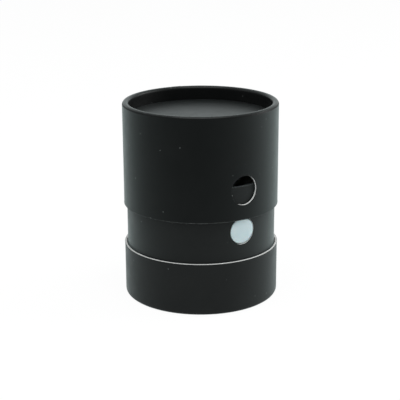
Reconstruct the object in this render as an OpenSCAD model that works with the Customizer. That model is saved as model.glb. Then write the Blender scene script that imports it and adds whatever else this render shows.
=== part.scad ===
// Press-button paper tube box.
// A lid tube with a rolled top edge slides over a neck tube, which is glued into a short base tube.
// A sprung button in the neck snaps into a round hole in the lid's wall and locks it shut.
// The origin is on the floor at the centre of the base, +Z is up, and the button faces -Y.
// The lid is drawn raised by lift_gap, with its lower edge just over the top of the button.

/* [Tubes] */
// Outside diameter of the base and of the lid
tube_d = 76; // [70:0.5:90]
// Height of the base's raw rim above the floor
base_h = 25.8; // [23:0.1:34]
// Height of the lid, from its lower edge to the top of its rolled edge
lid_h = 50.5; // [48:0.1:70]
// Height of the neck's top edge above the base's rim
neck_rise = 36.4; // [36:0.1:39]
// Gap between the base's rim and the raised lid
lift_gap = 20.2; // [0.1:0.1:30]

/* [Board and paper] */
// Thickness of the board that the lid and the neck are wound from
board_t = 0.9; // [0.6:0.05:1.1]
// Thickness of the covering and lining papers
paper_t = 0.13; // [0.1:0.01:0.16]
// Thickness of the glue film between a paper and its board
glue_t = 0.02; // [0.01:0.005:0.04]
// Thickness of the end discs
disc_t = 1.5; // [1:0.1:2.5]
// Radial gap round an end disc
disc_fit = 0.05; // [0.02:0.01:0.2]
// Length of the neck's covering that is turned in over its top edge
turn_in = 10; // [6:0.5:14]
// Gap between the turned-in paper and the lining below it
lining_gap = 0.3; // [0.1:0.1:1]

/* [Rolled edges] */
// Width of the lid's rolled edge, from its outside to the recess
lid_roll_w = 3.3; // [3:0.1:4.5]
// Width of the flat strip on top of the lid's rolled edge
lid_roll_land = 0.2; // [0.1:0.05:0.4]
// Depth of the recess in the top of the lid
lid_recess = 6.9; // [5:0.1:9]
// Width of the base's rolled edge
base_roll_w = 4; // [3.8:0.1:5]
// Width of the flat strip that the base stands on
base_roll_land = 0.9; // [0.4:0.05:1]
// Depth of the recess under the base
base_recess = 5; // [3.5:0.1:7]
// Depth of the turned-down rim of the lining inside the top of the lid
skirt_h = 4; // [2:0.1:5]

/* [Fits] */
// Radial running gap between the neck and the lid
lid_fit = 0.25; // [0.2:0.05:0.4]
// Radial glue gap between the neck and the base
neck_fit = 0.4; // [0.2:0.05:0.6]

/* [Button and hole] */
// Height of the button's centre above the base's rim, and of the hole above the lid's lower edge
button_rise = 14.3; // [12:0.1:15.2]
// Diameter of the button
button_d = 12.6; // [11:0.1:13.4]
// Diameter of the hole in the lid
hole_d = 14; // [13.6:0.1:16]
// Gap between the button and the edge of its window in the neck
window_fit = 0.3; // [0.25:0.05:0.5]
// Distance from the neck's surface in to the top of the button's domed face
button_sink = 0.05; // [0:0.05:0.3]
// Thickness of the button's face and walls
button_wall = 1.2; // [0.8:0.1:1.6]
// Radius of the button's rounded rim, which the lid's lower edge rides over
rim_r = 1.3; // [1.2:0.1:1.8]
// Distance that the released button stands out beyond its place under the lid
pop_out = 1.3; // [0.6:0.1:1.5]

/* [Spring latch] */
// Distance from the button's centre up to the line that its arm bends at
arm_l = 16; // [14:0.5:17]
// Width of the arm
arm_w = 9; // [7:0.5:10]
// Thickness of the arm
arm_t = 1; // [0.8:0.1:1.1]
// Width of the flange round the button that stops it at the neck's wall
flange_w = 1.6; // [1.2:0.1:2]
// Radial gap between the released arm and the neck's lining
stop_fit = 0.25; // [0.2:0.05:0.4]
// Width of the stiffening rib down the arm
rib_w = 1.4; // [1:0.1:2]
// Height of the stiffening rib above the arm
rib_h = 0.8; // [0.5:0.1:1.2]
// Width of the slot round the arm
slot_w = 0.6; // [0.5:0.1:1]
// Gap left at the thin web that the arm bends at
web_gap = 0.3; // [0.2:0.05:0.4]
// Width of the latch plate
plate_w = 26; // [25:0.5:30]
// Thickness of the latch plate
plate_t = 1.4; // [1:0.1:2]
// Height of the plate above the bending line
plate_top = 5; // [4:0.1:5.5]
// Height of the plate below the slot
plate_foot = 4; // [3:0.1:6]
// Corner radius of the plate
plate_corner = 3; // [1:0.5:4]
// Thickness of the adhesive tape behind the plate
tape_t = 0.15; // [0.1:0.01:0.2]
// Margin between the tape's edge and the plate's edge
tape_inset = 0.8; // [0.4:0.1:1.5]

/* [Hidden] */
$fn = 128;

// Length by which a cutting shape passes the surface that it cuts
over = 1;
// A paper and its glue film
skin = paper_t + glue_t;

tube_r = tube_d / 2;
// The lid's wall, from its covering in to its lining
lid_board_r = tube_r - skin;
lid_board_ir = lid_board_r - board_t;
lid_ir = lid_board_ir - skin;
// The neck's wall, from its covering in to its lining
neck_r = lid_ir - lid_fit;
neck_board_r = neck_r - skin;
neck_board_ir = neck_board_r - board_t;
neck_ir = neck_board_ir - skin;
// The base's board fills the space between its covering and the neck
base_ir = neck_r + neck_fit;
base_board_t = tube_r - skin - base_ir;

// Levels in the base, from the floor up
base_disc_z = base_recess + skin;
floor_z = base_disc_z + disc_t + skin;
neck_z = floor_z + glue_t;
neck_top_z = base_h + neck_rise;

// Levels in the raised lid, from its lower edge up
lid_z = base_h + lift_gap;
lid_top_z = lid_z + lid_h;
lid_face_z = lid_top_z - lid_recess;
lid_disc_z = lid_face_z - skin - disc_t;

button_r = button_d / 2;
button_z = base_h + button_rise;
hole_z = lid_z + button_rise;
window_r = button_r + window_fit;
face_r = neck_r - button_sink;

// The arm and the line that it bends at
arm_r = neck_ir - stop_fit;
bend_y = arm_t / 2 - arm_r;
bend_z = button_z + arm_l;
pop_deg = asin(pop_out / arm_l);
flange_r = window_r + flange_w;
plate_r = neck_ir - glue_t - tape_t - glue_t;
plate_z = button_z - flange_r - slot_w - plate_foot;
plate_h = bend_z + plate_top - plate_z;

board_colour = "gainsboro";
paper_colour = [0.09, 0.1, 0.1];
lining_colour = "whitesmoke";
plastic_colour = [0.76, 0.83, 0.84];

// A round sheet or disc that lies flat
module flat_disc(r, t, z) {
    translate([0, 0, z])
        cylinder(r = r, h = t);
}

// A plain tube that stands upright
module sleeve(r_out, r_in, z_low, z_high) {
    rotate_extrude()
        translate([r_in, z_low])
            square([r_out - r_in, z_high - z_low]);
}

// Turns what is drawn flat so that it stands on the -Y side at a height, and points out through the wall
module face_out(z) {
    translate([0, 0, z])
        rotate([90, 0, 0])
            children();
}

// A round hole through the wall on the -Y side
module wall_hole(r, z) {
    face_out(z)
        cylinder(r = r, h = tube_r + over);
}

// The rounded top of a rolled edge, whose highest line is at height 0
module roll_cap(r_out, width, land) {
    corner = (width - land) / 2;
    translate([r_out - corner, -corner])
        circle(r = corner);
    translate([r_out - width + corner, -corner])
        circle(r = corner);
    translate([r_out - width + corner, -2 * corner])
        square([land, 2 * corner]);
}

// Section of a wall of thickness t whose top is rolled inwards and down into a leg
module rolled_section(r_out, width, land, t, wall_l, leg_l) {
    corner = (width - land) / 2;
    difference() {
        union() {
            roll_cap(r_out, width, land);
            translate([r_out - width, -leg_l])
                square([width, leg_l - corner]);
            translate([r_out - t, -wall_l])
                square([t, wall_l - corner]);
        }
        translate([0, -t])
            roll_cap(r_out - t, width - 2 * t, land);
        translate([r_out - width + t, -leg_l - over])
            square([width - 2 * t, leg_l + over - corner]);
    }
}

// The rolled wall turned round the axis, with its rolled edge at the top
module rolled_tube(inset, width, land, t, wall_l, leg_l) {
    rotate_extrude()
        translate([0, -inset])
            rolled_section(tube_r - inset, width - 2 * inset, land, t, wall_l - inset, leg_l - inset);
}

// The base's rolled wall, which stands on its rolled edge
module base_tube(inset, t) {
    mirror([0, 0, 1])
        rolled_tube(inset, base_roll_w, base_roll_land, t, base_h, base_recess - glue_t);
}

// The lid's rolled wall with the press hole
module lid_tube(inset, t) {
    difference() {
        translate([0, 0, lid_top_z])
            rolled_tube(inset, lid_roll_w, lid_roll_land, t, lid_h, lid_recess - glue_t);
        wall_hole(hole_d / 2, hole_z);
    }
}

module base_core() {
    color(board_colour)
        base_tube(skin, base_board_t);
}

module base_wrap() {
    color(paper_colour)
        base_tube(0, paper_t);
}

module base_disc() {
    color(board_colour)
        flat_disc(base_ir - disc_fit, disc_t, base_disc_z);
}

module base_disc_facing() {
    color(paper_colour)
        flat_disc(base_ir - disc_fit, paper_t, base_recess);
}

module base_floor_lining() {
    color(lining_colour)
        flat_disc(base_ir - disc_fit, paper_t, floor_z - paper_t);
}

// A layer of the neck's wall, given as its child, with the button's window cut out
module windowed() {
    difference() {
        children();
        wall_hole(window_r, button_z);
    }
}

module neck_core() {
    color(board_colour)
        windowed()
            sleeve(neck_board_r, neck_board_ir, neck_z, neck_top_z - skin);
}

// The covering goes over the board's top edge and down inside
module neck_wrap() {
    color(paper_colour)
        windowed()
            translate([0, 0, neck_top_z])
                rotate_extrude()
                    rolled_section(neck_r, neck_r - neck_ir, board_t, paper_t, neck_top_z - neck_z, turn_in);
}

module neck_liner() {
    color(lining_colour)
        windowed()
            sleeve(neck_ir + paper_t, neck_ir, neck_z, neck_top_z - turn_in - lining_gap);
}

// Outline of the arm and the flange round the button, grown by a gap, with the button's centre at the origin
module arm_outline(gap) {
    circle(r = flange_r + gap);
    translate([-arm_w / 2 - gap, 0])
        square([arm_w + 2 * gap, arm_l]);
}

// Outline of the latch plate, shrunk by a margin, with the button's centre at the origin
module plate_outline(margin) {
    width = plate_w - 2 * margin;
    height = plate_h - 2 * margin;
    corner = plate_corner;
    translate([-width / 2, plate_z - button_z + margin]) {
        translate([corner, 0])
            square([width - 2 * corner, height]);
        translate([0, corner])
            square([width, height - 2 * corner]);
        for (x = [corner, width - corner], y = [corner, height - corner])
            translate([x, y])
                circle(r = corner);
    }
}

// A curved sheet that follows the neck's wall and has the outline that is given as its child
module curved_sheet(r_out, t) {
    intersection() {
        sleeve(r_out, r_out - t, plate_z - over, neck_top_z);
        face_out(button_z)
            linear_extrude(height = tube_r)
                children();
    }
}

module latch_plate() {
    color(plastic_colour)
        curved_sheet(plate_r, plate_t)
            difference() {
                plate_outline(0);
                arm_outline(slot_w);
            }
}

module latch_tape() {
    color("wheat")
        curved_sheet(plate_r + glue_t + tape_t, tape_t)
            difference() {
                plate_outline(tape_inset);
                arm_outline(slot_w + tape_inset);
            }
}

// Turns the released arm in about its bending line to where the lid holds it
module held_in() {
    translate([0, bend_y, bend_z])
        rotate([pop_deg, 0, 0])
            translate([0, -bend_y, -bend_z])
                children();
}

// The arm with its flange and rib, released, so that it follows the neck's wall
module arm_blank() {
    difference() {
        curved_sheet(arm_r, arm_t)
            arm_outline(0);
        translate([-plate_w / 2, -tube_r, bend_z - web_gap])
            cube([plate_w, tube_r, plate_top]);
    }
    translate([-rib_w / 2, arm_t / 2 - arm_r, button_z])
        cube([rib_w, arm_t / 2 + rib_h, arm_l - 2 * web_gap]);
}

// A round bar that stands on the origin, with a rounded rim and an end domed about the origin
module domed_bar(r, dome, rim) {
    rim_x = r - rim;
    rim_z = sqrt(pow(dome - rim, 2) - pow(rim_x, 2));
    rotate_extrude() {
        square([r, rim_z]);
        translate([rim_x, rim_z])
            circle(r = rim);
        intersection() {
            circle(r = dome);
            square([rim_x * dome / (dome - rim), dome]);
        }
    }
}

// The button, from the back of its arm out to its domed face, in its place under the lid
module button_boss() {
    difference() {
        face_out(button_z)
            domed_bar(button_r, face_r, rim_r);
        held_in()
            cylinder(r = arm_r - arm_t, h = neck_top_z);
    }
}

// The space inside the button, open at the back
module button_hollow() {
    intersection() {
        face_out(button_z)
            cylinder(r = button_r - button_wall, h = tube_r);
        translate([0, 0, button_z])
            sphere(r = face_r - button_wall);
    }
}

module release_button() {
    color(plastic_colour)
        difference() {
            union() {
                held_in()
                    arm_blank();
                button_boss();
            }
            button_hollow();
        }
}

module lid_core() {
    color(board_colour)
        lid_tube(skin, board_t);
}

module lid_wrap() {
    color(paper_colour)
        lid_tube(0, paper_t);
}

module lid_liner() {
    color(paper_colour)
        difference() {
            sleeve(lid_ir + paper_t, lid_ir, lid_z, lid_disc_z - glue_t);
            wall_hole(hole_d / 2, hole_z);
        }
}

module lid_disc() {
    color(board_colour)
        flat_disc(lid_board_ir - disc_fit, disc_t, lid_disc_z);
}

module lid_disc_facing() {
    color(paper_colour)
        flat_disc(lid_board_ir - disc_fit, paper_t, lid_face_z - paper_t);
}

// A shallow cup of paper that is glued to the disc and to the lid's lining
module lid_disc_lining() {
    color(paper_colour) {
        flat_disc(lid_ir - glue_t, paper_t, lid_disc_z - skin);
        sleeve(lid_ir - glue_t, lid_ir - skin, lid_disc_z - skin - skirt_h, lid_disc_z - skin);
    }
}

base_core();
base_wrap();
base_disc();
base_disc_facing();
base_floor_lining();
neck_core();
neck_wrap();
neck_liner();
latch_plate();
latch_tape();
release_button();
lid_core();
lid_wrap();
lid_liner();
lid_disc();
lid_disc_facing();
lid_disc_lining();
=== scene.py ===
"""Looks of a paper tube box with a press-button lid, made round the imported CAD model.

Every piece of paper and board is a closed mesh turned round the tube's axis, with its cut edges,
rolled edges, glued overlap and press hole modelled. Lengths are in metres, +Z is up and the button
faces -Y. An angle round the axis is counted from the button's side, and grows towards +X.
"""
import math
from collections import namedtuple

import bpy
import numpy as np
from mathutils import Matrix, Vector, noise


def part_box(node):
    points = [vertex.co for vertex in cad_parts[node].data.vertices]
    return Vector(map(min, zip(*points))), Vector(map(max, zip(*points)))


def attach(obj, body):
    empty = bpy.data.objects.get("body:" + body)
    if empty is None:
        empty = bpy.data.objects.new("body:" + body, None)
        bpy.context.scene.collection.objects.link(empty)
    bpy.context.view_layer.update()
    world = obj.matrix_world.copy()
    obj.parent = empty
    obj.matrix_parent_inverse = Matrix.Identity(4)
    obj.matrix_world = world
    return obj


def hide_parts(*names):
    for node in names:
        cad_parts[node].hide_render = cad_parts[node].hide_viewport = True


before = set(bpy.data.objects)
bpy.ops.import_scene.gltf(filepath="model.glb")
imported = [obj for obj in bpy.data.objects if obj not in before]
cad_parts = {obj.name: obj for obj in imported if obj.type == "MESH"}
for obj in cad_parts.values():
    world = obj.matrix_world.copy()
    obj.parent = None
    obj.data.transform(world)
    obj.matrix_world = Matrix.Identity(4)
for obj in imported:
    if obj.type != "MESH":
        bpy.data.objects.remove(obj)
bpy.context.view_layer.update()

MM = 0.001
# A length too small to matter
TINY = 1e-7

# Sizes read from the frame
NECK_LOW, NECK_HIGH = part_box("neck_wrap")
LID_LOW, LID_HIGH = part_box("lid_wrap")
TUBE_R = LID_HIGH.x
NECK_R = NECK_HIGH.x
NECK_TOP_Z = NECK_HIGH.z
NECK_LINING_TOP_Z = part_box("neck_liner")[1].z
BASE_RIM_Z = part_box("base_wrap")[1].z
LID_Z = LID_LOW.z
LID_TOP_Z = LID_HIGH.z
LID_FACE_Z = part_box("lid_disc_facing")[1].z
LID_DISC_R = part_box("lid_disc_facing")[1].x
LID_DISC_LOW_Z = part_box("lid_disc")[0].z
BASE_FACE_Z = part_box("base_disc_facing")[0].z
BASE_DISC_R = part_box("base_disc")[1].x
# The button's face is a dome of this radius round the point of the tube's axis behind its middle
BUTTON_DOME_R = -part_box("release_button")[0].y

# A paper's thickness, by itself and with the glue under it
PAPER_T = 0.13 * MM
SKIN = 0.15 * MM
GLUE_T = SKIN - PAPER_T
# The wound board of lid and neck, and the radii inside their linings
BOARD_T = 0.9 * MM
LID_INNER_R = TUBE_R - 2 * SKIN - BOARD_T
NECK_INNER_R = NECK_R - 2 * SKIN - BOARD_T
# The radius inside the base's board, which holds its disc with a little play
DISC_PLAY = 0.05 * MM
BASE_INNER_R = BASE_DISC_R + DISC_PLAY
# The rolled edges: their width across, and the flat land between their two rounded corners
LID_ROLL_W = 3.3 * MM
LID_ROLL_LAND = 0.2 * MM
BASE_ROLL_W = 4.0 * MM
BASE_ROLL_LAND = 0.9 * MM
# How far down the neck's covering is turned in over its top edge
TURN_IN = 10.0 * MM
# The button, the press hole that fits over it and the neck's window round it
BUTTON_RISE = 14.3 * MM
BUTTON_R = 6.3 * MM
BUTTON_RIM_R = 1.3 * MM
HOLE_R = 7.0 * MM
WINDOW_R = 6.6 * MM
HOLE_Z = LID_Z + BUTTON_RISE
BUTTON_Z = BASE_RIM_Z + BUTTON_RISE

# How far a covering's cut edge stops short of the board's, and how much wider its press hole is
EDGE_SHOW = 0.08 * MM
HOLE_SHOW = 0.01 * MM
# Radii of the rounded cut edges: first at the ends of a tube, then at the rims of an opening
PAPER_LIP = 0.05 * MM
BOARD_LIP = 0.12 * MM
NECK_BOARD_LIP = 0.02 * MM
LINING_LIP = 0.03 * MM
PAPER_RIM = 0.04 * MM
BOARD_RIM = 0.06 * MM
LINING_RIM = 0.03 * MM

# The cut edge of the glued overlap down each covering, in degrees
LID_SEAM = 163.5
BASE_SEAM = -151.5
NECK_SEAM = 173.5
# The overlap's step and width, the part of the width over which it fades, and how far the foot and the
# top of the step lie to each side of the cut edge, in degrees
SEAM_STEP = 0.06 * MM
SEAM_W = 6.0 * MM
SEAM_FADE = 0.4
SEAM_EDGE = 0.03

# Unevenness of a wound tube: how far it draws the wall in, how fine it is round the axis and up the
# wall, and how far apart two seeds lie
UNEVEN = 0.04 * MM
UNEVEN_ROUND = 1.6
UNEVEN_UP = 28
UNEVEN_SEEDS = (7.3, 3.1, 1.7)
# Wrinkles of paper that is drawn in to a smaller circle, in the same terms. The power makes them narrow
WRINKLE = 0.07 * MM
WRINKLE_ROUND = 22
WRINKLE_UP = 60
WRINKLE_SEEDS = (5.1, 2.3, 0)
WRINKLE_POWER = 1.3
# How far in from the outside of the tube the wrinkles of the rolled edges start
LID_WRINKLE_START = 2.0 * MM
BASE_WRINKLE_START = 2.4 * MM
# The dish of the sunken top: its depth, how fine its waves are, and how uneven they make it
DISH = 0.1 * MM
DISH_WAVES = 40
DISH_UNEVEN = 0.15
DISH_SEEDS = (2.7, 0, 0)

# The radius of the button's rim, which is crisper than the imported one. It is crisp up to the first
# height over the button's middle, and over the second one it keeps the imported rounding, on which the
# lid's lower edge rides when it comes down
CRISP_RIM_R = 0.3 * MM
CRISP_TO = 3.6 * MM
ROUND_FROM = 5.4 * MM
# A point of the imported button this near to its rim's or dome's surface lies on it
ON_SURFACE = 0.03 * MM

# How the meshes are divided. The square patch round an opening reaches PATCH_COLUMNS columns to each
# side of its middle, and PATCH_HALF up and down. Its rings crowd towards the opening, and a disc's
# towards its edge
COLUMNS = 360
ROW_STEP = 1.6 * MM
ARC_STEPS = 14
LIP_STEPS = 4
PATCH_COLUMNS = 16
PATCH_HALF = 10.0 * MM
PATCH_RINGS = 9
PATCH_CROWDING = 0.8
OPENING_STEPS = 4
DISC_RINGS = 24
DISC_CROWDING = 0.9
# Faces that meet at a greater angle, in degrees, are shaded with a crease between them
CREASE = 38

# An opening straight through a wall on the button's side, with its two rims rounded by the radius edge
Opening = namedtuple("Opening", "z radius edge")


def lerp(a, b, t):
    """The value a part t of the way from a to b."""
    return a + (b - a) * t


def smooth(t):
    """A part t from 0 to 1 that starts and ends gently."""
    return t * t * (3 - 2 * t)


def steps(low, high, size):
    """Evenly spaced values from low to high, no further apart than size."""
    count = max(1, math.ceil(abs(high - low) / size))
    return [lerp(low, high, i / count) for i in range(count + 1)]


def arc(centre_r, centre_z, radius, start, end, count=ARC_STEPS):
    """Points (r, z) on an arc, with its angles in degrees from the direction of growing r."""
    angles = [math.radians(lerp(start, end, i / count)) for i in range(count + 1)]
    return [(centre_r + radius * math.cos(a), centre_z + radius * math.sin(a)) for a in angles]


def wall_rows(z_low, z_high, patch_z=None):
    """Heights of a wall's rows. Rows in the patch round an opening are as far apart as its columns."""
    if patch_z is None:
        return steps(z_low, z_high, ROW_STEP)
    low, high = patch_z - PATCH_HALF, patch_z + PATCH_HALF
    patch = [lerp(low, high, i / (2 * PATCH_COLUMNS)) for i in range(2 * PATCH_COLUMNS + 1)]
    return steps(z_low, low, ROW_STEP)[:-1] + patch + steps(high, z_high, ROW_STEP)[1:]


def sided(points, outside):
    """Outline points with a mark that says whether they lie on the side that is seen."""
    return [(r, z, outside) for r, z in points]


def rolled_profile(r_out, width, land, t, z_edge, z_roll, leg_z, patch_z=None, lip=0.0):
    """Closed outline (r, z, seen) of a wall of thickness t whose top is rolled inwards and down into a leg.

    z_edge is the wall's free edge, z_roll the top of the roll and leg_z the end of the leg. width is the
    roll's, across, and land the flat between its two corners. lip rounds the two corners of the free edge.
    """
    corner = (width - land) / 2
    small = corner - t
    outer_c, inner_c = r_out - corner, r_out - width + corner
    roll_z = z_roll - corner
    rows = wall_rows(z_edge + lip, roll_z, patch_z)
    leg = steps(roll_z, leg_z, ROW_STEP / 2)
    outside = [(r_out, z) for z in rows]
    outside += arc(outer_c, roll_z, corner, 0, 90)[1:]
    outside += arc(inner_c, roll_z, corner, 90, 180)
    outside += [(r_out - width, z) for z in leg[1:]]
    inside = [(r_out - width + t, z) for z in reversed(leg)]
    inside += arc(inner_c, roll_z, small, 180, 90)[1:]
    inside += arc(outer_c, roll_z, small, 90, 0)
    inside += [(r_out - t, z) for z in reversed(rows[:-1])]
    if lip:
        inside += arc(r_out - t + lip, z_edge + lip, lip, 180, 270, LIP_STEPS)[1:]
        inside += arc(r_out - lip, z_edge + lip, lip, 270, 360, LIP_STEPS)[:-1]
    return sided(outside, True) + sided(inside, False)


def sleeve_profile(r_out, r_in, z_low, z_high, patch_z=None, lip=0.0):
    """Closed outline (r, z, seen) of a plain tube, with the corners of its ends rounded by lip."""
    rows = wall_rows(z_low + lip, z_high - lip, patch_z)
    points = [(r_out, z) for z in rows]
    if lip:
        points += arc(r_out - lip, z_high - lip, lip, 0, 90, LIP_STEPS)[1:]
        points += arc(r_in + lip, z_high - lip, lip, 90, 180, LIP_STEPS)[:-1]
    points += [(r_in, z) for z in reversed(rows)]
    if lip:
        points += arc(r_in + lip, z_low + lip, lip, 180, 270, LIP_STEPS)[1:]
        points += arc(r_out - lip, z_low + lip, lip, 270, 360, LIP_STEPS)[:-1]
    return sided(points, False)


def upside_down(profile):
    """The outline mirrored in the floor, still going the same way round."""
    return [(r, -z, outside) for r, z, outside in reversed(profile)]


class Mesh:
    """Collects points and faces, and makes a smooth-shaded object from them."""

    def __init__(self, name):
        self.name = name
        self.points = []
        self.faces = []

    def point(self, x, y, z):
        """Adds a point and gives its number."""
        self.points.append((x, y, z))
        return len(self.points) - 1

    def strip(self, a, b):
        """Adds the faces between two closed rows of as many points."""
        for i in range(len(a)):
            j = (i + 1) % len(a)
            self.faces.append((a[i], a[j], b[j], b[i]))

    def drop_unused(self):
        """Removes the points that no face uses."""
        used = sorted({p for face in self.faces for p in face})
        place_of = {p: i for i, p in enumerate(used)}
        self.points = [self.points[p] for p in used]
        self.faces = [tuple(place_of[p] for p in face) for face in self.faces]

    def object(self, material, shape=None, zones=()):
        """Makes the object, with its points moved by the function shape.

        zones lists (finish, test): the faces whose middle passes the test get that finish, and where
        several do the last one holds.
        """
        points = np.array(self.points)
        if shape is not None:
            points = shape(points)
        mesh = bpy.data.meshes.new(self.name)
        mesh.from_pydata(points.tolist(), [], self.faces)
        mesh.validate()
        mesh.update()
        mesh.polygons.foreach_set("use_smooth", [True] * len(mesh.polygons))
        mesh.set_sharp_from_angle(angle=math.radians(CREASE))
        made = bpy.data.objects.new(self.name, mesh)
        bpy.context.scene.collection.objects.link(made)
        made.data.materials.append(material)
        for slot, (finish, test) in enumerate(zones, 1):
            made.data.materials.append(finish)
            for face in mesh.polygons:
                if test(face.center):
                    face.material_index = slot
        return made


def column_angles(seam=None):
    """Angles of the columns from the middle of the button's side.

    The two columns nearest to a seam are moved close to its cut edge, one to each side.
    """
    degrees = [i * 360 / COLUMNS for i in range(COLUMNS)]
    if seam is not None:
        for i, angle in enumerate(degrees):
            beside = (angle - seam + 180) % 360 - 180
            if abs(beside) < 180 / COLUMNS + TINY:
                degrees[i] = seam + math.copysign(SEAM_EDGE, beside)
    return [math.radians(angle) for angle in degrees]


def seam_lift(angle, seam):
    """1 on a seam's raised overlap, fading to 0 on its far side, and 0 elsewhere."""
    along = ((angle - math.radians(seam) + math.pi) % (2 * math.pi) - math.pi) * TUBE_R / SEAM_W
    if along < 0 or along > 1:
        return 0.0
    return smooth(min(1.0, (1 - along) / SEAM_FADE))


def outward(profile, i):
    """The outline's direction outwards at one of its points."""
    before, after = profile[i - 1], profile[(i + 1) % len(profile)]
    along_r, along_z = after[0] - before[0], after[1] - before[1]
    size = math.hypot(along_r, along_z)
    return along_z / size, -along_r / size


def turned(name, profile, opening=None, seam=None):
    """A closed mesh turned round the axis from a closed outline, with an opening where one is given.

    seam is the angle of a glued overlap: the side that is seen lies a step deeper everywhere else.
    """
    mesh = Mesh(name)
    angles = column_angles(seam)
    sinks = [0.0 if seam is None else SEAM_STEP * (1 - seam_lift(a, seam)) for a in angles]
    grid = []
    for i, (r, z, seen) in enumerate(profile):
        out_r, out_z = outward(profile, i)
        row = []
        for a, sink in zip(angles, sinks):
            depth = sink if seen else 0.0
            r_here = r - out_r * depth
            row.append(mesh.point(r_here * math.sin(a), -r_here * math.cos(a), z - out_z * depth))
        grid.append(row)
    open_rows = set() if opening is None else rows_beside(profile, opening.z)
    for i, row in enumerate(grid):
        next_row = grid[(i + 1) % len(grid)]
        for c in range(COLUMNS):
            in_patch = c < PATCH_COLUMNS or c >= COLUMNS - PATCH_COLUMNS
            if i in open_rows and in_patch:
                continue
            d = (c + 1) % COLUMNS
            mesh.faces.append((row[c], row[d], next_row[d], next_row[c]))
    if opening is not None:
        rims = [pierced_patch(mesh, grid, first, last, opening) for first, last in runs(open_rows)]
        outer, inner = sorted(rims, key=lambda rim: rim[0], reverse=True)
        join_rims(mesh, outer, inner, opening)
    mesh.drop_unused()
    return mesh


def rows_beside(profile, patch_z):
    """Numbers of the rows of faces that cross the patch round an opening, on both sides of the wall."""
    low, high = patch_z - PATCH_HALF - TINY, patch_z + PATCH_HALF + TINY
    found = set()
    for i, (r, z, _) in enumerate(profile):
        next_r, next_z, _ = profile[(i + 1) % len(profile)]
        if abs(r - next_r) < TINY and low < z < high and low < next_z < high:
            found.add(i)
    return found


def runs(numbers):
    """The first and last number of each unbroken run in a set of whole numbers."""
    found = []
    for i in sorted(numbers):
        if found and found[-1][1] == i - 1:
            found[-1][1] = i
        else:
            found.append([i, i])
    return found


def pierced_patch(mesh, grid, first, last, opening):
    """Rings of faces from the square edge of a patch in to its opening.

    first and last are the numbers of the patch's rows of faces. Gives the wall's radius and the points
    of the opening's rim.
    """
    end = last + 1
    x_middle, y_middle, _ = mesh.points[grid[first][0]]
    r = math.hypot(x_middle, y_middle)
    left, right = COLUMNS - PATCH_COLUMNS, PATCH_COLUMNS
    across = list(range(left, COLUMNS)) + list(range(0, right + 1))
    ring = [grid[first][c] for c in across]
    ring += [grid[i][right] for i in range(first + 1, end + 1)]
    ring += [grid[end][c] for c in reversed(across[:-1])]
    ring += [grid[i][left] for i in range(end - 1, first, -1)]
    rim_r = opening.radius + opening.edge
    border = [(mesh.points[p][0], mesh.points[p][2] - opening.z) for p in ring]
    for k in range(1, PATCH_RINGS + 1):
        part = (k / PATCH_RINGS) ** PATCH_CROWDING
        new_ring = []
        for x, up in border:
            size = math.hypot(x, up)
            new_x = lerp(x, x / size * rim_r, part)
            new_up = lerp(up, up / size * rim_r, part)
            new_ring.append(mesh.point(new_x, -math.sqrt(r * r - new_x * new_x), opening.z + new_up))
        mesh.strip(ring, new_ring)
        ring = new_ring
    return r, ring


def join_rims(mesh, outer, inner, opening):
    """The cut edge of an opening, from the outer rim through the wall to the inner rim."""
    edge = opening.edge
    r_out, outer_ring = outer
    r_in, inner_ring = inner

    def angle(p):
        x, _, z = mesh.points[p]
        return math.atan2(z - opening.z, x)

    matched = [min(inner_ring, key=lambda q: abs(angle(q) - angle(p))) for p in outer_ring]
    half_round = math.pi / 4
    wider, deeper = edge * (1 - math.sin(half_round)), edge * (1 - math.cos(half_round))
    levels = [(wider, r_out - deeper)]
    levels += [(0.0, lerp(r_out - edge, r_in + edge, k / OPENING_STEPS)) for k in range(OPENING_STEPS + 1)]
    levels.append((wider, r_in + deeper))
    ring = outer_ring
    for extra, r in levels:
        new_ring = []
        for p in outer_ring:
            a = angle(p)
            x = (opening.radius + extra) * math.cos(a)
            z = opening.z + (opening.radius + extra) * math.sin(a)
            new_ring.append(mesh.point(x, -math.sqrt(r * r - x * x), z))
        mesh.strip(ring, new_ring)
        ring = new_ring
    mesh.strip(ring, matched)


def flat_disc(name, radius, z_low, z_high):
    """A closed round sheet, divided into rings so that it can be given a slight dish."""
    mesh = Mesh(name)
    angles = column_angles()
    radii = [radius * (k / DISC_RINGS) ** DISC_CROWDING for k in range(1, DISC_RINGS + 1)]

    def side(z):
        middle = mesh.point(0, 0, z)
        return middle, [[mesh.point(r * math.sin(a), -r * math.cos(a), z) for a in angles] for r in radii]

    low_middle, low = side(z_low)
    high_middle, high = side(z_high)
    for i in range(COLUMNS):
        j = (i + 1) % COLUMNS
        mesh.faces.append((low_middle, low[0][j], low[0][i]))
        mesh.faces.append((high_middle, high[0][i], high[0][j]))
    for inner, outer in zip(low, low[1:]):
        mesh.strip(inner, outer)
    for inner, outer in zip(high, high[1:]):
        mesh.strip(outer, inner)
    mesh.strip(low[-1], high[-1])
    return mesh


def seed_shift(seed, seeds):
    """Where a seed lies in the space of the noise."""
    return Vector([seed * step for step in seeds])


def drawn_in(depth):
    """A shape function that moves each point towards the axis by depth(x, y, z, r)."""
    def shape(points):
        out = points.copy()
        for i, (x, y, z) in enumerate(points):
            r = math.hypot(x, y)
            r_new = r - depth(x, y, z, r)
            out[i, 0] = x * r_new / r
            out[i, 1] = y * r_new / r
        return out
    return shape


def handmade(seed):
    """A shape function that draws a tube in a little, unevenly, as wound and rolled paper is."""
    shift = seed_shift(seed, UNEVEN_SEEDS)

    def depth(x, y, z, r):
        spot = Vector((x / r * UNEVEN_ROUND, y / r * UNEVEN_ROUND, z * UNEVEN_UP)) + shift
        return UNEVEN * (1 + noise.noise(spot)) / 2

    return drawn_in(depth)


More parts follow.
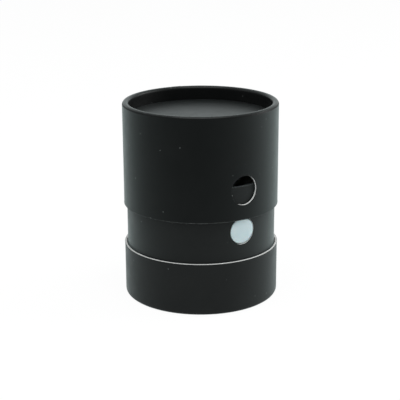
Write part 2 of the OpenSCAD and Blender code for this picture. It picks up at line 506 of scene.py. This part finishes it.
def crimped(r_start, r_full, seed):
    """A shape function for small upright wrinkles in paper that is drawn in to a smaller circle.

    They start at the radius r_start and are at their deepest from r_full inwards.
    """
    shift = seed_shift(seed, WRINKLE_SEEDS)

    def depth(x, y, z, r):
        part = (r_start - r) / (r_start - r_full)
        if part <= 0:
            return 0.0
        spot = Vector((-y / r * WRINKLE_ROUND, x / r * WRINKLE_ROUND, z * WRINKLE_UP)) + shift
        return WRINKLE * min(1.0, part) * max(0.0, noise.noise(spot)) ** WRINKLE_POWER

    return drawn_in(depth)


def dished(radius, seed):
    """A shape function for a flat sheet that sags a little towards its middle."""
    shift = seed_shift(seed, DISH_SEEDS)

    def shape(points):
        out = points.copy()
        for i, (x, y, z) in enumerate(points):
            part = min(1.0, math.hypot(x, y) / radius)
            wave = noise.noise(Vector((x * DISH_WAVES, y * DISH_WAVES, 0)) + shift)
            out[i, 2] = z - DISH * (1 - part ** 2) * (1 - DISH_UNEVEN + DISH_UNEVEN * wave)
        return out

    return shape


def also(*shapes):
    """One shape function that applies several, one after the other."""
    def shape(points):
        for one in shapes:
            points = one(points)
        return points
    return shape


def rim_centre(rim_r):
    """The middle of a rim's rounding: its distances from the button's axis and from the tube's."""
    across = BUTTON_R - rim_r
    return across, math.sqrt((BUTTON_DOME_R - rim_r) ** 2 - across ** 2)


def crisp_rim(points):
    """The button's rounded rim drawn out to a smaller radius, and its dome stretched out to meet it."""
    old_across, old_out = rim_centre(BUTTON_RIM_R)
    new_across, new_out = rim_centre(CRISP_RIM_R)
    turn = math.atan2(new_out, new_across) / math.atan2(old_out, old_across)
    stretch = (new_across / (BUTTON_DOME_R - CRISP_RIM_R)) / (old_across / (BUTTON_DOME_R - BUTTON_RIM_R))
    out = points.copy()
    for i, (x, y, z) in enumerate(points):
        up = z - BUTTON_Z
        across = math.hypot(x, up)
        if across < ON_SURFACE:
            continue
        beside, ahead = across - old_across, -y - old_out
        off_rim = abs(math.hypot(beside, ahead) - BUTTON_RIM_R)
        off_dome = abs(math.hypot(across, y) - BUTTON_DOME_R)
        if off_rim < ON_SURFACE and min(beside, ahead) > -ON_SURFACE:
            angle = math.atan2(ahead, beside) * turn
            across_new = new_across + CRISP_RIM_R * math.cos(angle)
            y_new = -(new_out + CRISP_RIM_R * math.sin(angle))
        elif off_dome < ON_SURFACE:
            across_new = across * stretch
            y_new = -math.sqrt(BUTTON_DOME_R ** 2 - across_new ** 2)
        else:
            continue
        part = smooth(min(1.0, max(0.0, (ROUND_FROM - up) / (ROUND_FROM - CRISP_TO))))
        scale = lerp(1.0, across_new / across, part)
        out[i] = (x * scale, lerp(y, y_new, part), BUTTON_Z + up * scale)
    return out


# The coverings: how far their clouding goes to each side of their shade, in levels of 255, how wide
# their rubbed edges are, and their film's sheen
CLOUDING = 2
WORN_W = 0.5 * MM
SHEEN_ROUGHNESS = 0.43
SHEEN_TINT = (0.8, 1.0, 0.98, 1.0)
# Dust on the coverings: the size of the specks, and of the cells of space that hold one each, and their
# colour, 0 to 255
DUST_SIZE = 0.2 * MM
DUST_CELL = 5.5 * MM
DUST_COLOUR = (138, 144, 142)
# Wound board: the thickness of a ply, and how strongly the plies and the fibres show
PLY_T = 0.3 * MM
PLY_SHOWS = 0.35
FIBRE_SHOWS = 0.75


def srgb(red, green, blue):
    """A colour as the photograph shows it, 0 to 255 each, in the renderer's linear values."""
    def one(v):
        v /= 255
        return v / 12.92 if v <= 0.04045 else ((v + 0.055) / 1.055) ** 2.4
    return (one(red), one(green), one(blue), 1.0)


def black(level):
    """The coverings' slightly cool black at a level of 255."""
    return srgb(level, level + 1, level + 1)


class Nodes:
    """A node tree, with short calls for its nodes. An input is a socket or a fixed value."""

    def __init__(self, tree):
        self.tree = tree

    def feed(self, slot, value):
        """Links a node's slot to a socket, or sets it to a fixed value."""
        if isinstance(value, bpy.types.NodeSocket):
            self.tree.links.new(value, slot)
        else:
            slot.default_value = value

    def add(self, kind, inputs, **settings):
        """Adds a node with its settings, and with its inputs by name or number."""
        made = self.tree.nodes.new(kind)
        for key, value in settings.items():
            setattr(made, key, value)
        for key, value in inputs.items():
            self.feed(made.inputs[key], value)
        return made

    def coordinates(self):
        """The coordinates of a point, as the mesh has them."""
        return self.add("ShaderNodeTexCoord", {}).outputs["Object"]

    def math(self, operation, a, b=0.0):
        """The result of a maths operation on one or two inputs."""
        return self.add("ShaderNodeMath", {0: a, 1: b}, operation=operation).outputs[0]

    def vector(self, operation, *inputs):
        """The number that a vector operation gives."""
        made = self.add("ShaderNodeVectorMath", dict(enumerate(inputs)), operation=operation)
        return made.outputs["Value"]

    def stretch(self, value, old, new=(0.0, 1.0)):
        """A value of the range old stretched to the range new, and held within it."""
        return self.add("ShaderNodeMapRange", {
            "Value": value, "From Min": old[0], "From Max": old[1], "To Min": new[0], "To Max": new[1],
        }).outputs["Result"]

    def mix(self, factor, a, b):
        """The colour a where the factor is 0, and b where it is 1."""
        made = self.add("ShaderNodeMix", {"Factor": factor, "A": a, "B": b}, data_type="RGBA")
        return made.outputs["Result"]

    def mix_shaders(self, factor, a, b):
        """The shader a where the factor is 0, and b where it is 1."""
        return self.add("ShaderNodeMixShader", {0: factor, 1: a, 2: b}).outputs[0]


class Surface(Nodes):
    """A material under construction."""

    def __init__(self, name):
        self.material = bpy.data.materials.new(name)
        self.material.use_nodes = True
        super().__init__(self.material.node_tree)
        self.shader = self.tree.nodes["Principled BSDF"]
        self.coords = self.coordinates()

    def noise(self, scale, detail, rough):
        """Clouds of about scale waves to the metre, with finer ones in them."""
        return self.add("ShaderNodeTexNoise", {
            "Scale": scale, "Detail": detail, "Roughness": rough, "Vector": self.coords}).outputs["Fac"]

    def ramp(self, value, stops):
        """A colour between the two that stops gives, each at a value."""
        made = self.add("ShaderNodeValToRGB", {"Fac": value})
        for element, (position, colour) in zip(made.color_ramp.elements, stops.items()):
            element.position = position
            element.color = colour
        return made.outputs["Color"]

    def axes(self):
        """The x, y and z of a point."""
        return self.add("ShaderNodeSeparateXYZ", {0: self.coords}).outputs

    def radius(self):
        """A point's distance from the tube's axis."""
        x, y, _ = self.axes()
        return self.math("SQRT", self.math("ADD", self.math("MULTIPLY", x, x), self.math("MULTIPLY", y, y)))

    def specks(self, cell, size):
        """1 on scattered round specks of about a size, one at most in each cell of space, else 0."""
        made = self.add("ShaderNodeTexVoronoi", {"Scale": 1 / cell, "Vector": self.coords})
        return self.stretch(made.outputs["Distance"], (size / cell, size / cell / 2))

    def bump(self, height, distance, strength, over=None):
        """The relief that a height map gives, on top of another where over names one."""
        inputs = {"Height": height, "Distance": distance, "Strength": strength}
        if over is not None:
            inputs["Normal"] = over
        return self.add("ShaderNodeBump", inputs).outputs["Normal"]

    def finish(self, inputs):
        """The material, once the inputs of its shader are set by name."""
        for key, value in inputs.items():
            self.feed(self.shader.inputs[key], value)
        return self.material


def black_paper(name, worn_z=(), shade=8, sheen=0.22, rough=(0.37, 0.46), ior=1.19, relief=1.0, worn=74):
    """Matte black covering with a soft-touch film: fine grain, faint clouding, dust and paler rubbed edges.

    shade is its level of 255, and rough the range of its roughness. worn_z lists the heights of the
    edges where the film is rubbed, and worn is the level that it gets there. relief is 1 for paper as
    it is made, and less where it was pressed flat.
    """
    s = Surface(name)
    cloud = s.noise(scale=45, detail=4, rough=0.6)
    colour = s.ramp(cloud, {0.3: black(shade - CLOUDING), 0.7: black(shade + CLOUDING)})
    z = s.axes()[2]
    for height in worn_z:
        off = s.math("ABSOLUTE", s.math("SUBTRACT", z, height))
        near = s.stretch(off, (0.0, WORN_W), (1.0, 0.0))
        patchy = s.stretch(s.noise(scale=700, detail=3, rough=0.6), (0.45, 0.72), (0.2, 1.0))
        colour = s.mix(s.math("MULTIPLY", near, patchy), colour, srgb(worn, worn + 4, worn + 3))
    colour = s.mix(s.specks(DUST_CELL, DUST_SIZE), colour, srgb(*DUST_COLOUR))
    grain = s.noise(scale=5200, detail=3, rough=0.65)
    fibre = s.noise(scale=900, detail=4, rough=0.6)
    normal = s.bump(fibre, distance=0.012 * MM, strength=0.5 * relief)
    normal = s.bump(grain, distance=0.008 * MM, strength=0.6 * relief, over=normal)
    rubbed = s.stretch(s.noise(scale=160, detail=3, rough=0.6), (0.3, 0.7), rough)
    return s.finish({
        "Base Color": colour, "Roughness": rubbed, "Normal": normal, "IOR": ior, "Sheen Weight": sheen,
        "Sheen Roughness": SHEEN_ROUGHNESS, "Sheen Tint": SHEEN_TINT})


def raw_board(name, low=160, high=220):
    """The cut edge of pale wound board: thin plies one inside the other, with fibres torn by the blade.

    low and high are its darkest and its palest level of 255.
    """
    s = Surface(name)
    wave = s.math("SINE", s.math("MULTIPLY", s.radius(), 2 * math.pi / PLY_T))
    ply = s.stretch(wave, (-1.0, 1.0), (0.0, PLY_SHOWS))
    fibre = s.noise(scale=3000, detail=4, rough=0.7)
    pale = s.math("ADD", ply, s.math("MULTIPLY", fibre, FIBRE_SHOWS))
    colour = s.ramp(pale, {0.25: srgb(low, low, low - 2), 0.8: srgb(high, high + 1, high)})
    normal = s.bump(fibre, distance=0.03 * MM, strength=0.8)
    return s.finish({"Base Color": colour, "Roughness": 0.85, "Normal": normal})


def white_paper(name):
    """Uncoated white lining paper, with a faint felt mark and slight yellowing."""
    s = Surface(name)
    cloud = s.noise(scale=60, detail=4, rough=0.6)
    colour = s.ramp(cloud, {0.3: srgb(222, 222, 216), 0.75: srgb(236, 237, 233)})
    normal = s.bump(s.noise(scale=2600, detail=4, rough=0.65), distance=0.012 * MM, strength=0.7)
    return s.finish({"Base Color": colour, "Roughness": 0.72, "Normal": normal})


def pale_plastic(name):
    """Moulded pale plastic with a fine spark texture, a little light under the skin and faint rubbing."""
    s = Surface(name)
    cloud = s.noise(scale=260, detail=4, rough=0.6)
    colour = s.ramp(cloud, {0.3: srgb(168, 186, 190), 0.7: srgb(177, 192, 195)})
    normal = s.bump(s.noise(scale=4200, detail=2, rough=0.5), distance=0.006 * MM, strength=0.6)
    rubbed = s.stretch(s.noise(scale=700, detail=3, rough=0.6), (0.3, 0.7), (0.36, 0.5))
    return s.finish({
        "Base Color": colour, "Roughness": rubbed, "Normal": normal, "Subsurface Weight": 0.12,
        "Subsurface Scale": 0.6 * MM})


def adhesive_tape(name):
    """Yellowish translucent double-sided tape with trapped air."""
    s = Surface(name)
    bubbles = s.noise(scale=1500, detail=4, rough=0.7)
    colour = s.ramp(bubbles, {0.35: srgb(196, 182, 140), 0.65: srgb(226, 214, 178)})
    normal = s.bump(bubbles, distance=0.02 * MM, strength=0.5)
    return s.finish({"Base Color": colour, "Roughness": 0.4, "Normal": normal})


# Where the rolled edges are rubbed: how far below the lid's top, and how high over the floor
LID_ROLL_WORN = 0.2 * MM
BASE_ROLL_WORN = 0.4 * MM

lid_black = black_paper("black_paper_lid", worn_z=(LID_Z,))
crown_black = black_paper("black_paper_crown", worn_z=(LID_TOP_Z - LID_ROLL_WORN,), sheen=0.0,
                          rough=(0.24, 0.32), ior=1.24, relief=0.5, worn=36)
# A duller copy of the lid's covering, without sheen and with less gloss, which paints shade on the roll's
# shoulder and in the recess
painted_shade_black = black_paper("black_paper_painted_shade", sheen=0.0, rough=(0.42, 0.5), ior=1.17, relief=0.7)
base_black = black_paper("black_paper_base", worn_z=(BASE_ROLL_WORN,), shade=22, sheen=0.12)
neck_black = black_paper("black_paper_neck", worn_z=(NECK_TOP_Z,), shade=20, sheen=0.24)
facing_black = black_paper("black_paper_facing", sheen=0.02, rough=(0.35, 0.41), ior=1.44, relief=0.2)
lining_black = black_paper("black_paper_lining")
board = raw_board("raw_board")
lid_board = raw_board("raw_board_lid", low=186, high=240)
white = white_paper("white_lining_paper")
plastic = pale_plastic("pale_plastic")
tape = adhesive_tape("adhesive_tape")

# The papers and boards of one body share their unevenness, so that they still lie on each other
lid_shape = handmade(seed=1)
base_shape = handmade(seed=2)

# How far down from the lid's top its covering is polished by the rolling, outside and in the recess,
# and how far down its outside it gets the duller copy without sheen that paints shade, as the recess does
LID_CROWN = 0.6 * MM
LID_CROWN_INSIDE = 0.9 * MM
LID_PAINTED_SHADE = 1.2 * MM


def in_recess(spot):
    """Whether a spot of the lid's covering lies on the recess's side of the rolled edge."""
    return spot.xy.length < TUBE_R - LID_ROLL_W / 2


def is_painted_shade(spot):
    """Whether the lid's covering gets the duller copy that paints shade: the roll's shoulder and the
    recess.
    """
    return spot.z > LID_TOP_Z - LID_PAINTED_SHADE or in_recess(spot)


def is_crown(spot):
    """Whether the lid's covering is polished there."""
    return spot.z > LID_TOP_Z - (LID_CROWN_INSIDE if in_recess(spot) else LID_CROWN)


def place(piece, body, node):
    """Makes a piece ride on a body and stand for a CAD node, which it hides."""
    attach(piece, body)
    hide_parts(node)


def make_lid():
    """The lid's covering round the rolled edge, its board, its lining and the facing of its disc."""
    leg_z = LID_FACE_Z + GLUE_T
    outline = rolled_profile(
        TUBE_R, LID_ROLL_W, LID_ROLL_LAND, PAPER_T, z_edge=LID_Z + EDGE_SHOW, z_roll=LID_TOP_Z,
        leg_z=leg_z, patch_z=HOLE_Z, lip=PAPER_LIP)
    paper = turned("lid_paper", outline, Opening(HOLE_Z, HOLE_R + HOLE_SHOW, PAPER_RIM), LID_SEAM)
    wrinkles = crimped(TUBE_R - LID_WRINKLE_START, TUBE_R - LID_ROLL_W, seed=1)
    # The duller copy paints shade on the roll's shoulder and in the recess; the polished crown lies over it
    zones = ((painted_shade_black, is_painted_shade), (crown_black, is_crown))
    covering = paper.object(lid_black, also(lid_shape, wrinkles), zones)
    place(covering, "lid", "lid_wrap")

    outline = rolled_profile(
        TUBE_R - SKIN, LID_ROLL_W - 2 * SKIN, LID_ROLL_LAND, BOARD_T, z_edge=LID_Z,
        z_roll=LID_TOP_Z - SKIN, leg_z=leg_z, patch_z=HOLE_Z, lip=BOARD_LIP)
    core = turned("lid_board", outline, Opening(HOLE_Z, HOLE_R, BOARD_RIM))
    place(core.object(lid_board, lid_shape), "lid", "lid_core")

    outline = sleeve_profile(
        LID_INNER_R + PAPER_T, LID_INNER_R, LID_Z + EDGE_SHOW, LID_DISC_LOW_Z - GLUE_T, HOLE_Z)
    lining = turned("lid_lining", outline, Opening(HOLE_Z, HOLE_R, LINING_RIM))
    place(lining.object(lining_black, lid_shape), "lid", "lid_liner")

    facing = flat_disc("top_facing", LID_DISC_R, LID_FACE_Z - PAPER_T, LID_FACE_Z)
    place(facing.object(facing_black, dished(LID_DISC_R, seed=1)), "lid", "lid_disc_facing")


def make_base():
    """The base's covering and its board, both rolled in at the bottom. Their outlines are upside down."""
    leg_z = -BASE_FACE_Z + GLUE_T
    outline = rolled_profile(
        TUBE_R, BASE_ROLL_W, BASE_ROLL_LAND, PAPER_T, z_edge=EDGE_SHOW - BASE_RIM_Z, z_roll=0.0,
        leg_z=leg_z, lip=PAPER_LIP)
    paper = turned("base_paper", upside_down(outline), seam=BASE_SEAM)
    wrinkles = crimped(TUBE_R - BASE_WRINKLE_START, TUBE_R - BASE_ROLL_W, seed=2)
    covering = paper.object(base_black, also(base_shape, wrinkles))
    place(covering, "base", "base_wrap")

    outline = rolled_profile(
        TUBE_R - SKIN, BASE_ROLL_W - 2 * SKIN, BASE_ROLL_LAND, TUBE_R - SKIN - BASE_INNER_R,
        z_edge=-BASE_RIM_Z, z_roll=-SKIN, leg_z=leg_z, lip=BOARD_LIP)
    core = turned("base_board", upside_down(outline))
    place(core.object(board, base_shape), "base", "base_core")


def make_neck():
    """The neck's covering, turned in over the top edge, its board and its lining, all with the window."""
    outline = rolled_profile(
        NECK_R, NECK_R - NECK_INNER_R, BOARD_T, PAPER_T, z_edge=NECK_LOW.z, z_roll=NECK_TOP_Z,
        leg_z=NECK_TOP_Z - TURN_IN, patch_z=BUTTON_Z)
    paper = turned("neck_paper", outline, Opening(BUTTON_Z, WINDOW_R, PAPER_RIM), NECK_SEAM)
    wrinkles = crimped(NECK_R - SKIN - BOARD_T, NECK_INNER_R, seed=3)
    covering = paper.object(neck_black, also(base_shape, wrinkles))
    place(covering, "base", "neck_wrap")

    outline = sleeve_profile(
        NECK_R - SKIN, NECK_R - SKIN - BOARD_T, NECK_LOW.z, NECK_TOP_Z - SKIN, BUTTON_Z, NECK_BOARD_LIP)
    core = turned("neck_board", outline, Opening(BUTTON_Z, WINDOW_R, BOARD_RIM))
    place(core.object(board, base_shape), "base", "neck_core")

    outline = sleeve_profile(
        NECK_INNER_R + PAPER_T, NECK_INNER_R, NECK_LOW.z, NECK_LINING_TOP_Z, BUTTON_Z, LINING_LIP)
    lining = turned("neck_lining", outline, Opening(BUTTON_Z, WINDOW_R, LINING_RIM))
    place(lining.object(white, base_shape), "base", "neck_liner")


def make_button():
    """The button and its arm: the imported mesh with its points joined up, and a crisper rim."""
    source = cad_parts["release_button"].data
    mesh = Mesh("button")
    number_at = {}
    numbers = []
    for vertex in source.vertices:
        key = tuple(round(value / TINY) for value in vertex.co)
        if key not in number_at:
            number_at[key] = mesh.point(*vertex.co)
        numbers.append(number_at[key])
    for face in source.polygons:
        corners = [numbers[p] for p in face.vertices]
        if len(set(corners)) == len(corners):
            mesh.faces.append(tuple(corners))
    place(mesh.object(plastic, crisp_rim), "button", "release_button")


def finish_packed_pieces():
    """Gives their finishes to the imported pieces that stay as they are."""
    finishes = {
        "base_disc": board, "base_disc_facing": lining_black, "base_floor_lining": white,
        "latch_plate": plastic, "latch_tape": tape, "lid_disc": board, "lid_disc_lining": lining_black}
    for node, finish in finishes.items():
        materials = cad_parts[node].data.materials
        materials.clear()
        materials.append(finish)


# The photograph's camera, found from the outlines of the tubes. Its distance from the tube's axis and
# its height are in metres, its azimuth in degrees, its lens and sensor in millimetres, and its pitch,
# pan and roll in radians
CAMERA_DISTANCE = 0.5299
CAMERA_HEIGHT = 0.20789
CAMERA_AZIMUTH = -32.56
CAMERA_LENS = 100.508
CAMERA_SENSOR = 36
CAMERA_PITCH = -0.29648
CAMERA_PAN = -0.00082
CAMERA_ROLL = -0.00424
CAMERA_NEAREST = 0.01
CAMERA_FURTHEST = 20
# Strength and colour of the light that the surroundings give, and their cool tinge where the film
# mirrors them
AMBIENT = 0.62
AMBIENT_COLOUR = (0.97, 1.0, 1.0, 1.0)
TINGE = (0.92, 1.0, 1.0, 1.0)
WHITE = (1.0, 1.0, 1.0, 1.0)
# The floor: half its side, its colour, and how much of its own shading shows through the white
FLOOR_HALF = 4.0
FLOOR_COLOUR = 0.88
FLOOR_SHOWS = 0.06
# Mirrored in the object, the floor is full white up to the near distance and loses brightness up to
# the far one, most of all on the side that the azimuth points to, and not at all on the other. The side
# goes by the cosine of the angle to that azimuth
FLOOR_NEAR = 0.12
FLOOR_FAR = 0.38
FLOOR_LOST = 0.66
FLOOR_DIM_AZIMUTH = -72
FLOOR_DIM_COSINES = (-0.3, 0.8)
# The height that the lamps look at
LAMP_AIM_Z = 0.05


def add_camera():
    """The photograph's camera."""
    around = math.radians(CAMERA_AZIMUTH)
    away = Vector((math.sin(around), -math.cos(around), 0))
    side = Vector((math.cos(around), math.sin(around), 0))
    level = (-away + side * math.tan(CAMERA_PAN)).normalized()
    look = level * math.cos(CAMERA_PITCH) + Vector((0, 0, math.sin(CAMERA_PITCH)))
    right = look.cross(Vector((0, 0, 1))).normalized()
    up = right.cross(look)
    tilted_right = right * math.cos(CAMERA_ROLL) + up * math.sin(CAMERA_ROLL)
    tilted_up = tilted_right.cross(look)
    data = bpy.data.cameras.new("camera")
    data.lens = CAMERA_LENS
    data.sensor_width = CAMERA_SENSOR
    data.clip_start = CAMERA_NEAREST
    data.clip_end = CAMERA_FURTHEST
    made = bpy.data.objects.new("camera", data)
    bpy.context.scene.collection.objects.link(made)
    made.location = away * CAMERA_DISTANCE + Vector((0, 0, CAMERA_HEIGHT))
    made.rotation_mode = "QUATERNION"
    made.rotation_quaternion = Matrix((tilted_right, tilted_up, -look)).transposed().to_quaternion()
    bpy.context.scene.camera = made


def seen_directly(nodes):
    """1 for rays from the camera and for rays mirrored or let through to it, else 0."""
    path = nodes.add("ShaderNodeLightPath", {}).outputs
    seen = nodes.math("MAXIMUM", path["Is Camera Ray"], path["Is Transmission Ray"])
    return nodes.math("MAXIMUM", seen, path["Is Glossy Ray"])


def seen_colour(nodes):
    """White for rays from the camera, and slightly cool for mirrored rays."""
    path = nodes.add("ShaderNodeLightPath", {}).outputs
    return nodes.mix(path["Is Glossy Ray"], WHITE, TINGE)


def add_world():
    """Even light from all sides, which looks white to the camera and in mirrored rays."""
    world = bpy.data.worlds.new("studio")
    bpy.context.scene.world = world
    world.use_nodes = True
    world.node_tree.nodes.clear()
    nodes = Nodes(world.node_tree)
    light = nodes.add("ShaderNodeBackground", {"Color": AMBIENT_COLOUR, "Strength": AMBIENT}).outputs[0]
    seen = nodes.add("ShaderNodeBackground", {"Color": seen_colour(nodes), "Strength": 1.0}).outputs[0]
    nodes.add("ShaderNodeOutputWorld", {0: nodes.mix_shaders(seen_directly(nodes), light, seen)})


def floor_light(nodes):
    """How bright the floor looks to a ray: 1, but less far from the object for mirrored rays."""
    spot = nodes.coordinates()
    around = math.radians(FLOOR_DIM_AZIMUTH)
    length = nodes.vector("LENGTH", spot)
    towards = nodes.vector("DOT_PRODUCT", spot, (math.sin(around), -math.cos(around), 0))
    fade = nodes.stretch(length, (FLOOR_NEAR, FLOOR_FAR), (0.0, FLOOR_LOST))
    side = nodes.stretch(nodes.math("DIVIDE", towards, length), FLOOR_DIM_COSINES)
    path = nodes.add("ShaderNodeLightPath", {}).outputs
    lost = nodes.math("MULTIPLY", nodes.math("MULTIPLY", fade, side), path["Is Glossy Ray"])
    return nodes.math("SUBTRACT", 1.0, lost)


def add_floor():
    """A pale floor that reads as white and keeps a faint shadow of the object."""
    mesh = bpy.data.meshes.new("floor")
    corners = [(-FLOOR_HALF, -FLOOR_HALF, 0), (FLOOR_HALF, -FLOOR_HALF, 0),
               (FLOOR_HALF, FLOOR_HALF, 0), (-FLOOR_HALF, FLOOR_HALF, 0)]
    mesh.from_pydata(corners, [], [(0, 1, 2, 3)])
    floor = bpy.data.objects.new("floor", mesh)
    bpy.context.scene.collection.objects.link(floor)
    material = bpy.data.materials.new("pale_floor")
    material.use_nodes = True
    material.node_tree.nodes.clear()
    nodes = Nodes(material.node_tree)
    light = floor_light(nodes)
    shaded = nodes.add("ShaderNodeBsdfDiffuse", {"Color": nodes.math("MULTIPLY", light, FLOOR_COLOUR)})
    glow = nodes.add("ShaderNodeEmission", {"Color": seen_colour(nodes), "Strength": light})
    glows = nodes.math("MULTIPLY", seen_directly(nodes), 1 - FLOOR_SHOWS)
    nodes.add("ShaderNodeOutputMaterial", {0: nodes.mix_shaders(glows, shaded.outputs[0], glow.outputs[0])})
    floor.data.materials.append(material)


def add_softbox(name, azimuth, elevation, distance, size, watts):
    """A square lamp that looks at the middle of the object. Azimuth 0 is the button's side."""
    around, up = math.radians(azimuth), math.radians(elevation)
    away = Vector((math.sin(around) * math.cos(up), -math.cos(around) * math.cos(up), math.sin(up)))
    data = bpy.data.lights.new(name, "AREA")
    data.size = size
    data.energy = watts
    made = bpy.data.objects.new(name, data)
    bpy.context.scene.collection.objects.link(made)
    made.location = away * distance + Vector((0, 0, LAMP_AIM_Z))
    made.rotation_mode = "QUATERNION"
    made.rotation_quaternion = (-away).to_track_quat("-Z", "Y")


make_lid()
make_base()
make_neck()
make_button()
finish_packed_pieces()

add_camera()
add_world()
add_floor()
add_softbox("top_softbox", azimuth=-30, elevation=75, distance=1.2, size=1.0, watts=10.0)
add_softbox("left_softbox", azimuth=-110, elevation=25, distance=1.2, size=0.8, watts=2.0)
add_softbox("right_softbox", azimuth=70, elevation=20, distance=1.2, size=0.8, watts=9.0)

bpy.context.scene.view_settings.view_transform = "Standard"
